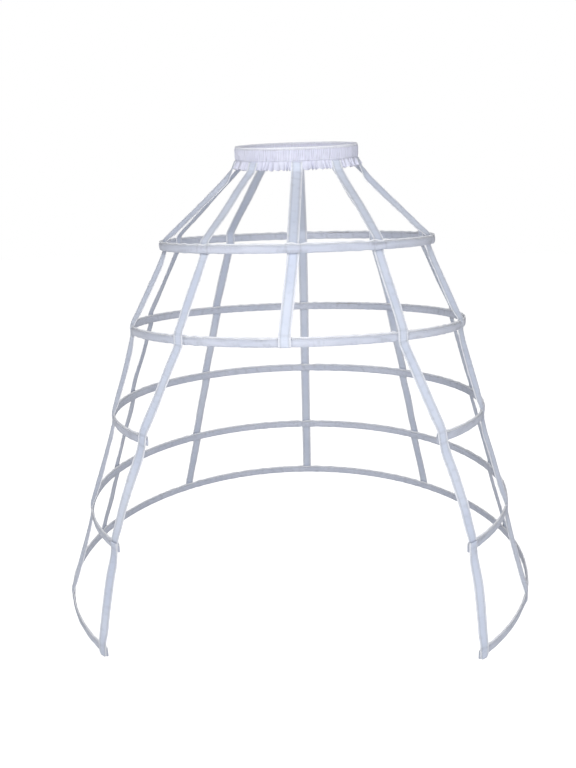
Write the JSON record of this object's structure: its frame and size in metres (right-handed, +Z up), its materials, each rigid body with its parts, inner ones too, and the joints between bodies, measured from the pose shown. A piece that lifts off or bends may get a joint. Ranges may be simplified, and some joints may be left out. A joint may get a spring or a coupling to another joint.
{
  "type": "crinoline cage",
  "caption": "Cage crinoline: an elastic waistband holds cloth tapes and sprung hoops that widen to the hem, whole hoops above and hoops open at the front below.",
  "frame": {"origin": "middle of the waistband, in the centre of the waist opening", "axes": "+Z up the wearer's body, the front opening faces -Y, +X to the viewer's right as seen from the front"},
  "size_m": [0.8952, 0.7692, 0.8559],
  "materials": {
    "waistband_cloth": "plain-woven white cotton, gathered",
    "elastic": "knitted white elastic",
    "tape_cloth": "close-woven white cotton tape, edges folded and stitched",
    "casing_cloth": "plain-woven white cotton, slightly wrinkled",
    "bone_coating": "white plastic coating on flat spring steel",
    "joiner_steel": "zinc-plated steel",
    "tip_plastic": "moulded white plastic"
  },
  "bodies": {
    "root": {"hoop_1_bone": "bone_coating", "hoop_1_casing": "casing_cloth", "hoop_1_joiner": "joiner_steel", "hoop_2_bone": "bone_coating", "hoop_2_casing": "casing_cloth", "hoop_2_joiner": "joiner_steel", "hoop_3_bone": "bone_coating", "hoop_3_casing": "casing_cloth", "hoop_3_tip_left": "tip_plastic", "hoop_3_tip_right": "tip_plastic", "hoop_4_bone": "bone_coating", "hoop_4_casing": "casing_cloth", "hoop_4_tip_left": "tip_plastic", "hoop_4_tip_right": "tip_plastic", "hoop_5_bone": "bone_coating", "hoop_5_casing": "casing_cloth", "hoop_5_tip_left": "tip_plastic", "hoop_5_tip_right": "tip_plastic", "tape_back_left": "tape_cloth", "tape_back_right": "tape_cloth", "tape_centre_back": "tape_cloth", "tape_centre_front": "tape_cloth", "tape_front_left": "tape_cloth", "tape_front_right": "tape_cloth", "tape_side_back_left": "tape_cloth", "tape_side_back_right": "tape_cloth", "tape_side_left": "tape_cloth", "tape_side_right": "tape_cloth", "waist_elastic": "elastic", "waistband": "waistband_cloth"}
  },
  "joints": []
}
